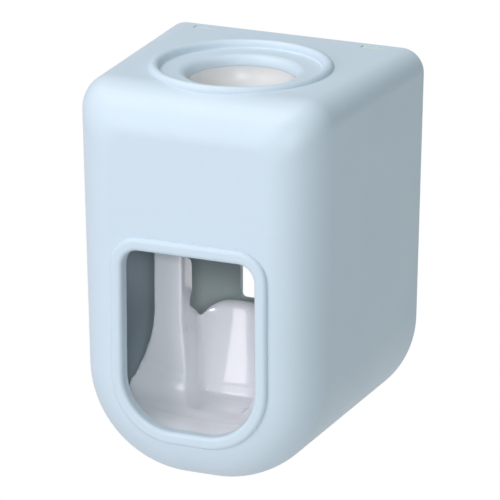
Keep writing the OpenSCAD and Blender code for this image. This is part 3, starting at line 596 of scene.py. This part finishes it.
def rim_shape():
    """The window's raised rim: a rounded section swept round the window's outline."""
    t = Shape("window_rim", Width=WIN_W, Low=WIN_LOW, Top=WIN_TOP, Low_Radius=WIN_R_LOW,
              Top_Radius=WIN_R_TOP, Rim_Width=RIM_W, Rim_Height=RIM_H, Root=WALL, Edge=RIM_ROUND)
    rim, low, top = t.size("Rim_Width"), t.size("Low"), t.size("Top")
    place = feed_all(t.tree, add_node(t.tree, "ShaderNodeSeparateXYZ"), t.add("InputPosition"))
    x, y, z = (Number(t.tree, socket) for socket in place.outputs)
    line = t.add("CurvePrimitiveQuadrilateral", Width=t.size("Width") + rim, Height=top - low + rim)
    radius = t.size("Top_Radius") + (t.size("Low_Radius") - t.size("Top_Radius")) * y.below(0)
    path = t.add("FilletCurve", {"mode": "POLY"}, Curve=line, Count=24, Radius=radius + rim / 2)
    path = t.add("SetCurveNormal", {"mode": "Z_UP"}, Curve=path)
    height = t.size("Rim_Height") + t.size("Root")
    bar = t.add("CurvePrimitiveQuadrilateral", Width=rim, Height=height)
    bar = t.add("FilletCurve", {"mode": "POLY"}, Curve=bar, Count=6, Radius=t.size("Edge") * y.above(0))
    bar = t.add("Transform", Geometry=bar, Translation=(0, height / 2 - t.size("Root"), 0))
    swept = t.add("CurveToMesh", Curve=path, Profile_Curve=bar)
    upright = t.add("SetPosition", Geometry=swept,
                    Position=(x, z - SHELL_D, y + (low + top) / 2))
    return t.close(t.add("MergeByDistance", Geometry=upright, Distance=MERGE), "shell_blue")


COIL_FIRST_X = 16.35
COIL_LAST_X = 19.75
COIL_STEPS = 130


def spring_shape():
    """A torsion spring: fore arm, coil and an arm that leans down, as one unbroken wire."""
    t = Shape("torsion_spring", First_X=COIL_FIRST_X, Last_X=COIL_LAST_X, Coil_Radius=3.4,
              Wire_Radius=0.35, Turns=2.811, Fore_Arm=7.0, Down_Arm=11.6, Lean=22.0, Side=1.0)
    line = t.add("ResampleCurve", Curve=t.add("CurvePrimitiveLine"), Count=COIL_STEPS + 3)
    index = t.index()
    share = ((index - 1) / COIL_STEPS).at_least(0).at_most(1)
    angle = share * t.size("Turns") * math.tau - math.pi / 2
    lean = t.size("Lean") * (math.pi / 180)
    fore, down = index.below(0.5), index.above(COIL_STEPS + 1.5)
    coil_r, down_arm = t.size("Coil_Radius"), t.size("Down_Arm")
    x = t.size("First_X") + (t.size("Last_X") - t.size("First_X")) * share
    y = coil_r * angle.reckon("COSINE") - PIVOT_DEPTH - t.size("Fore_Arm") * fore
    z = coil_r * angle.reckon("SINE") + PIVOT_Z - down_arm * lean.reckon("COSINE") * down
    y = y + down_arm * lean.reckon("SINE") * down
    wire = t.add("SetPosition", Geometry=line, Position=(x * t.size("Side"), y, z))
    section = t.add("CurvePrimitiveCircle", Resolution=12, Radius=t.size("Wire_Radius"))
    tube = t.add("CurveToMesh", Curve=wire, Profile_Curve=section, Fill_Caps=True)
    return t.close(tube, "spring_steel")


def screw_shape():
    """Screws on a grid of places: drawn-in head with a cross recess, core and thread."""
    t = Shape("screw_set", Apart_X=2 * POST_X, Apart_Y=32.0, Length=12.0, Head_Height=1.6,
              Head_Radius=2.6, Shank_Radius=SCREW_R, Pitch=1.0, Middle_Y=0.0, Seat_Z=0.0, Tilt=0.0)
    cross_long, cross_wide, cross_deep, proud = 2.8, 0.7, 1.2, 0.1
    under_head, core_share, thread_share, ridge_share, end_gap = 0.82, 0.8, 0.86, 0.16, 0.5
    length, head_h, head_r = t.size("Length"), t.size("Head_Height"), t.size("Head_Radius")
    shank_r, threaded = t.size("Shank_Radius"), t.size("Length") - 2 * end_gap
    head = t.add("MeshCone", Vertices=48, Radius_Top=head_r, Radius_Bottom=head_r * under_head,
                 Depth=head_h)
    head = t.add("Transform", Geometry=head, Translation=(0, 0, head_h * -1))
    arms = [t.add("MeshCube", Size=(across, up, cross_deep))
            for across, up in ((cross_long, cross_wide), (cross_wide, cross_long))]
    cross = t.add("Transform", Geometry=t.join(*arms), Translation=(0, 0, head_h * -1 - proud))
    cut = t.add("MeshBoolean", {"operation": "DIFFERENCE", "solver": "EXACT"}, Self_Intersection=True)
    feed_all(t.tree, cut, head, cross)
    core = t.add("MeshCylinder", Vertices=32, Radius=shank_r * core_share, Depth=length)
    core = t.add("Transform", Geometry=core, Translation=(0, 0, length / 2))
    helix = t.add("CurveSpiral", Resolution=16, Rotations=threaded / t.size("Pitch"),
                  Start_Radius=shank_r * thread_share, End_Radius=shank_r * thread_share,
                  Height=threaded)
    helix = t.add("Transform", Geometry=helix, Translation=(0, 0, end_gap))
    ridge = t.add("CurvePrimitiveCircle", Resolution=4, Radius=shank_r * ridge_share)
    thread = t.add("CurveToMesh", Curve=helix, Profile_Curve=ridge, Fill_Caps=True)
    places = t.add("MeshGrid", Vertices_X=2, Vertices_Y=2, Size_X=t.size("Apart_X"),
                   Size_Y=t.size("Apart_Y"))
    places = t.add("MergeByDistance", Geometry=places, Distance=0.01)
    places = t.add("Transform", Geometry=places,
                   Translation=(0, t.size("Middle_Y"), t.size("Seat_Z")))
    screws = t.add("InstanceOnPoints", Points=places, Instance=t.join(cut, core, thread),
                   Rotation=(t.size("Tilt"), 0, 0))
    return t.close(screws, "screw_steel")


# Housing

def level(node):
    """Outer radius, lowest and highest level of a turned CAD node, in the housing's millimetres."""
    low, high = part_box(node)
    return high.x / MM, low.z / MM - ORIGIN.z, high.z / MM - ORIGIN.z


SWING = next(joint for joint in frame["joints"] if joint["name"] == "lever_swing")
PIVOT_Z = SWING["pos_m"][2] / MM - ORIGIN.z
FRAME_TOP = level("seal_ring")[1] - 0.1
FRAME_T = 4.0


def window_cutter():
    """A prism through the front wall, under the middle of the rim."""
    grow = RIM_W / 2
    half = WIN_W / 2 + grow
    corners = [(-half, WIN_LOW - grow, WIN_R_LOW + grow), (half, WIN_LOW - grow, WIN_R_LOW + grow),
               (half, WIN_TOP + grow, WIN_R_TOP + grow), (-half, WIN_TOP + grow, WIN_R_TOP + grow)]
    return prism("window_cut", rounded(corners, steps=24), SHELL_D - 3 * WALL, SHELL_D + 1)


def port_ring():
    """Collar, rounded hole, recess floor and raised lip, turned as one section."""
    crest, crest_r = SHELL_H + LIP_H, LIP_W / 2 - 0.02
    root = RECESS_Z - WALL
    corners = [(PORT_R, COLLAR_LOW, 0.2), (PORT_R + WALL, COLLAR_LOW, 0.2),
               (PORT_R + WALL, root, 0.4), (LIP_R, root, 0.3), (LIP_R, crest, crest_r),
               (LIP_R - LIP_W, crest, crest_r), (LIP_R - LIP_W, RECESS_Z, 0.5),
               (PORT_R, RECESS_Z, PORT_EDGE)]
    return lathe("port_ring", corners, turns=192, steps=8)


def round_post(name, place, low, high, bore):
    """An upright tube with a screw's bore from below."""
    corners = [(bore, low, 0), (POST_R, low, 0.2), (POST_R, high, 0), (bore, high, 0)]
    return lathe(name, corners, turns=48, axis=place, steps=3)


def cover_boss(x, z):
    """A boss for a cover screw, with a rib down to the belly that stays clear of the bore."""
    length, rib, rib_long, rib_low, clear = 10.0, 1.6, 8, 9.2, 0.4
    boss = round_post("cover_boss", (0, 0), 0, length, SCREW_R)
    turn = Matrix.Translation(at(x, -COVER_FRONT, z)) @ Matrix.Rotation(math.pi / 2, 4, "X")
    boss.data.transform(turn @ Matrix.Translation(-at(0, 0, 0)))
    wall = block("cover_rib", (x - rib / 2, -COVER_FRONT - rib_long, rib_low),
                 (x + rib / 2, -COVER_FRONT, z - SCREW_R - clear))
    return [boss, wall]


def make_shell():
    """The moulding: outer body less its inside, the cover's seat, the window, the port and the notches
    for the cover's tabs, with the rim, the port's ring, the posts and the bosses fused to it."""
    body = body_shape()
    shell = clean(body.grow("shell_moulding", Edge_Round=EDGE_ROUND, Edge_Depth=EDGE_DEPTH,
                            Rear_Edge=0.4))
    inside = clean(body.grow("inside", Skin=WALL, Back=COVER_FRONT - 1, Front=SHELL_D - WALL,
                             Edge_Round=EDGE_ROUND - WALL, Edge_Depth=EDGE_DEPTH - WALL))
    seat = clean(body.grow("cover_seat", Skin=SEAT_WALL, Back=-1, Front=COVER_FRONT))
    low, high = SHELL_H - 2 * WALL, SHELL_H + WALL
    axis_r, cut_r = 0.001, LIP_R - LIP_W / 2
    port = lathe("port_cut", [(axis_r, low, 0), (cut_r, low, 0), (cut_r, high, 0), (axis_r, high, 0)],
                 turns=192)
    tab_x, tab_half, notch_front, notch_back = 25.1, 3.75, -COVER_FRONT - 0.15, -COVER_FRONT + 2.15
    notches = [block("notch", (side * tab_x - tab_half, notch_front, low),
                     (side * tab_x + tab_half, notch_back, high)) for side in (-1, 1)]
    combine(shell, "DIFFERENCE", inside, seat, window_cutter(), port, *notches)
    posts = [round_post("post", (side * POST_X, depth), FRAME_TOP, SHELL_H - WALL / 2, SCREW_R)
             for side in (-1, 1) for depth in POST_ROWS]
    bosses = [piece for side in (-1, 1) for piece in cover_boss(side * COVER_SCREW_X, COVER_SCREW_Z)]
    rim = clean(rim_shape().grow("window_rim"))
    combine(shell, "UNION", rim, port_ring(), *posts, *bosses)
    smooth(clean(shell, merge=0.002), crease=32.0)
    return dress(shell, "shell", body="housing")


make_shell()


# Funnel, seal and pump

def turned(name, node, corners, turns=128, crease=35.0, steps=5):
    """A turned section about the port's axis that stands for a CAD node of the housing."""
    piece = smooth(lathe(name, corners, turns, steps=steps), crease)
    return dress(piece, node, body="housing")


def make_socket_cup():
    """The funnel's bowl, its flange under the collar and the seal's holder."""
    radius, low, high = level("socket_cup")
    bowl, wall, throat, holder, flange = 9.0, 1.8, 8.0, 9.0, 2.0
    middle = PORT_R - bowl
    seal_top = level("neck_seal")[2]

    def arc(r, first, last, steps=24):
        """Points on the bowl between two radii from the axis."""
        ends = [math.acos((x - middle) / r) for x in (first, last)]
        angles = [ends[0] + (ends[1] - ends[0]) * k / steps for k in range(steps + 1)]
        return [(middle + r * math.cos(a), high - r * math.sin(a), 0) for a in angles]

    outer = bowl + wall
    outer_x = middle + math.sqrt(outer ** 2 - flange ** 2)
    corners = (arc(bowl, throat, PORT_R) + [(radius, high, 0.3), (radius, high - flange, 0.3)]
               + arc(outer, outer_x, holder + wall)
               + [(holder + wall, low, 0.3), (holder, low, 0.3), (holder, seal_top, 0),
                  (throat, seal_top, 0.3)])
    turned("socket_cup_piece", "socket_cup", corners, turns=160)


def make_turned_parts():
    """Rings, nozzle and its cap: each a turned section with its corners broken."""
    radius, low, high = level("neck_seal")
    bore = 6.0
    turned("neck_seal_piece", "neck_seal",
           [(bore, low, 0.2), (radius, low, 0.2), (radius, high, 0.2), (bore, high, 0.8)])

    radius, low, high = level("seal_ring")
    bore = 6.6
    turned("seal_ring_piece", "seal_ring",
           [(bore, low, 0.3), (radius, low, 0.3), (radius, high, 0.2), (bore, high, 0.3)])

    radius, low, high = level("clamp_ring")
    bore, seat_r, step = 8.4, 10.6, 1.2
    turned("clamp_ring_piece", "clamp_ring",
           [(bore, low, 0.5), (radius, low, 0.5), (radius, high, 0.2), (seat_r, high, 0.1),
            (seat_r, high - step, 0.1), (bore, high - step, 0.1)])

    radius, low, high = level("outlet_nozzle")
    bore, barrel_r, flange = 4.25, 5.65, 1.4
    turned("outlet_nozzle_piece", "outlet_nozzle",
           [(bore, low, 0.2), (barrel_r, low, 0.2), (barrel_r, high - flange, 0.2),
            (radius, high - flange, 0.3), (radius, high, 0.4), (bore, high, 0.2)])

    radius, low, high = level("nozzle_cap")
    bore, seat_r, step = 3.5, 5.7, 0.95
    turned("nozzle_cap_piece", "nozzle_cap",
           [(bore, low, 0.25), (radius, low, 0.45), (radius, high, 0.2), (seat_r, high, 0.1),
            (seat_r, low + step, 0.1), (bore, low + step, 0.1)])


def make_bladder():
    """A flange, a spigot and the tube that the presser squeezes against the anvil, each turned on its own, the
    tube with a mesh of its own.
    """
    radius, low, high = level("pump_bladder")
    inner_r, outer_r, spigot_inner, spigot_outer = 6.8, 8.3, 2.7, 4.2
    flange, end, taper, inner_drop = 1.2, high - 15.8, 3.6, 0.5
    foot = end - taper - 0.6
    tube = [(inner_r, high - flange, 0.2), (outer_r, high - flange, 0.2), (outer_r, end, 1.6),
            (spigot_outer, end - taper, 1.0), (spigot_outer, foot, 0), (spigot_inner, foot, 0),
            (spigot_inner, end - taper - inner_drop, 0.8), (inner_r, end - inner_drop, 1.2)]
    squeezed = turned("bladder_tube", "pump_bladder", tube, turns=96, crease=50.0, steps=7)
    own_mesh(squeezed)
    turned("bladder_flange", "pump_bladder",
           [(inner_r, high - flange, 0.1), (radius, high - flange, 0.3), (radius, high, 0.2),
            (inner_r, high, 0.3)], turns=96)
    turned("bladder_spigot", "pump_bladder",
           [(spigot_inner, low, 0.2), (spigot_outer, low, 0.2), (spigot_outer, foot, 0.1),
            (spigot_inner, foot, 0.1)], turns=96)


make_socket_cup()
make_turned_parts()
make_bladder()

# How wide each piece's soft edge is, in millimetres
SOFT_EDGES = {"back_cover": 0.3, "pump_frame": 0.35, "inlet_valve": 0.1, "outlet_valve": 0.1,
              "pivot_pins": 0.25, "stop_bumpers": 0.3, "bladder_presser": 0.3, "wall_hanger": 0.45,
              "adhesive_pad": 0.15}
for node_name, edge_width in SOFT_EDGES.items():
    dress(soften(node_name, edge_width), node_name, body=BODY_OF[node_name])


# Screws and springs

def make_screws():
    """Four screws up into the shell's posts, and two through the cover into its bosses."""
    screws = screw_shape()
    front, rear = POST_ROWS
    frame_set = screws.grow("frame_screw_set", Apart_Y=front - rear, Middle_Y=-(front + rear) / 2,
                            Seat_Z=FRAME_TOP - FRAME_T)
    cover_set = screws.grow("cover_screw_set", Apart_X=2 * COVER_SCREW_X, Apart_Y=0.0, Length=9.0,
                            Head_Height=1.0, Middle_Y=-3.3, Seat_Z=COVER_SCREW_Z, Tilt=math.pi / 2)
    for screw_set, node in ((frame_set, "frame_screws"), (cover_set, "cover_screws")):
        dress(smooth(clean(screw_set, merge=0.001), even=False), node, body="housing")


def make_springs():
    """Two springs round the pins, one on each side. Each end leans on a body, but the wire is tied to none."""
    springs = spring_shape()
    for name, side in (("return_spring_right", 1.0), ("return_spring_left", -1.0)):
        wire = clean(springs.grow(name, Side=side), merge=0.001)
        smooth(wire, crease=50.0, even=False)
        dress(wire, "return_springs")
        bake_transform(wire)


make_screws()
make_springs()


# Lever

LEG_IN = 11.2
TONGUE_DEPTH = LEVER_FRONT - 14
TONGUE_R = 19.4
TONGUE_TOP = 42.4
POCKET_Z = 16.2
POCKET_R = 5.0


def leg_webs():
    """Webs in the plane of each leg, which close the notch between the leg and the tongue."""
    outline = [(-49.2, 46), (-44.5, 43.2), (-39.2, 39.6), (-38.2, 36), (-38.6, 31), (-42, 29),
               (-49.2, 32)]
    inner_x, outer_x = LEG_IN - 0.02, LEG_IN + 1.8
    return [slab("leg_web", *([(x * side, y, z) for y, z in outline] for x in (inner_x, outer_x)))
            for side in (-1, 1)]


def tongue_face():
    """A flatter face in the scoop, with its own rounded edge beside each leg, as the photo shows it.
    It stands proud of the scoop at the pocket and runs into it towards the top."""
    half, face_r, edge_depth, fade = LEG_IN - 1.25, 34.0, TONGUE_DEPTH + 5.8, 21.5
    foot, head, fade_top, sunk, thick = 0.6, 2.2, 0.8, 0.3, 1.4
    across, up = 40, 52
    front, back = [], []
    for j in range(up + 1):
        z = POCKET_Z - foot + (TONGUE_TOP - head - POCKET_Z) * j / up
        drop = max(POCKET_Z + POCKET_R - z, 0)
        wide = half - POCKET_R + math.sqrt(max(POCKET_R ** 2 - drop ** 2, 0))
        share = min(max((TONGUE_TOP - fade_top - z) / fade, 0), 1)
        for i in range(across + 1):
            x = wide * (2 * i / across - 1)
            scoop = TONGUE_DEPTH + TONGUE_R - math.sqrt(TONGUE_R ** 2 - x ** 2)
            face = edge_depth + math.sqrt(face_r ** 2 - half ** 2) - math.sqrt(face_r ** 2 - x ** 2)
            front.append((x, -(scoop - sunk + (face - scoop + sunk) * share), z))
            back.append((x, -(scoop - thick), z))
    row = across + 1
    inner = [(j * row + i, j * row + i + 1, (j + 1) * row + i + 1, (j + 1) * row + i)
             for j in range(up) for i in range(across)]
    border = (list(range(row)) + [j * row + across for j in range(1, up + 1)]
              + [up * row + i for i in range(across - 1, -1, -1)]
              + [j * row for j in range(up - 1, 0, -1)])
    far = len(front)
    faces = inner + [tuple(far + v for v in reversed(face)) for face in inner]
    faces += [(a, far + a, far + b, b) for a, b in zip(border, border[1:] + border[:1])]
    return clean(new_object("tongue_face", front + back, faces))


def flare_cutters():
    """Prisms that take the step off the outer edge of each leg's flare."""
    line = [(20.6, 38.5), (21.9, 33.4), (24.2, 26.2), (26.0, 21.2), (27.6, 17.6)]
    outline = line + [(30, 17.6), (30, 38.5)]
    back, front = LEVER_FRONT - 4.5, LEVER_FRONT + 1.2
    return [prism("flare_cut", [(side * x, z) for x, z in outline], back, front) for side in (-1, 1)]


def even_mesh(obj, size, swell=0.0):
    """One closed skin of even faces over all that obj holds. swell closes cracks up to twice its
    width, and is taken off again."""
    modify(obj, "swell", "DISPLACE", mid_level=0, strength=swell * MM)
    modify(obj, "even_mesh", "REMESH", mode="VOXEL", voxel_size=size * MM)
    modify(obj, "shrink", "DISPLACE", mid_level=0, strength=-swell * MM)
    return settle(obj)


def make_lever():
    """The lever's own shape with every edge run soft, as in a thick gloss moulding."""
    obj = cad_copy("push_lever")
    whole = bmesh.new()
    whole.from_mesh(obj.data)
    for added in (*leg_webs(), tongue_face()):
        whole.from_mesh(added.data)
        bpy.data.objects.remove(added)
    whole.to_mesh(obj.data)
    whole.free()
    even_mesh(obj, size=0.38, swell=0.32)
    combine(obj, "DIFFERENCE", *flare_cutters())
    even_mesh(obj, size=0.4)
    modify(obj, "soft_edges", "SMOOTH", factor=0.5, iterations=10)
    dress(smooth(settle(obj), crease=180.0, even=False), "push_lever", body="lever")


make_lever()


# Stage. Places and lengths are in metres; PALE is the floor's own grey and the ground beyond it.

PALE = (0.8, 0.8, 0.8, 1)
WHITE = (1, 1, 1, 1)
FLOOR_HALF = 3.0
FLOOR_DROP = 0.35
LIGHT_AIM = Vector((0, -0.03, 0))


def show_both(tree, kind, rays, lit, seen):
    """Ends a stage tree: seen for the rays that look at the background, lit for those that light."""
    path = tree.nodes.new("ShaderNodeLightPath").outputs
    looking = Number(tree, path[rays[0]]).at_least(path[rays[1]])
    mix = feed_all(tree, add_node(tree, "ShaderNodeMixShader"), looking, lit, seen)
    add_node(tree, kind, Surface=mix)


def make_floor():
    """A pale floor that throws light up; the camera and reflections see it as plain white."""
    mesh = bpy.data.meshes.new("floor")
    mesh.from_pydata([(x * FLOOR_HALF, y * FLOOR_HALF, cad_low.z - FLOOR_DROP)
                      for x, y in ((-1, -1), (1, -1), (1, 1), (-1, 1))], [], [(0, 1, 2, 3)])
    floor = add_object("floor", mesh)
    material = bpy.data.materials.new("floor_pale")
    material.use_nodes = True
    tree = material.node_tree
    tree.nodes.clear()
    show_both(tree, "ShaderNodeOutputMaterial", ("Is Camera Ray", "Is Glossy Ray"),
              add_node(tree, "ShaderNodeBsdfDiffuse", Color=PALE),
              add_node(tree, "ShaderNodeEmission", Color=WHITE, Strength=1.0))
    mesh.materials.append(material)


def make_world(colour, strength):
    """A soft room light; the camera sees a pale ground where the floor ends."""
    world = bpy.data.worlds.new("studio")
    bpy.context.scene.world = world
    world.use_nodes = True
    tree = world.node_tree
    tree.nodes.clear()
    show_both(tree, "ShaderNodeOutputWorld", ("Is Camera Ray", "Is Transmission Ray"),
              add_node(tree, "ShaderNodeBackground", Color=(*colour, 1), Strength=strength),
              add_node(tree, "ShaderNodeBackground", Color=PALE, Strength=1.0))


def soft_light(name, place, side, power, colour):
    """A square panel that faces the object."""
    data = bpy.data.lights.new(name, "AREA")
    data.shape = "RECTANGLE"
    data.size, data.size_y = side, side
    data.energy = power
    data.color = colour
    lamp = add_object(name, data)
    lamp.location = place
    lamp.rotation_mode = "QUATERNION"
    lamp.rotation_quaternion = (LIGHT_AIM - lamp.location).to_track_quat("-Z", "Y")


make_floor()
make_world((0.86, 0.98, 1.0), 0.32)
soft_light("front_panel", (-0.55, -1.1, 0.30), 0.7, 5.0, (0.99, 0.93, 1.0))
soft_light("fill_panel", (0.57, -1.29, 0.46), 0.22, 6.3, (0.95, 0.99, 1.0))
soft_light("top_panel", (-0.4, -0.2, 1.0), 0.8, 7.2, (1.0, 0.98, 1.0))

bpy.context.scene.view_settings.view_transform = "Standard"
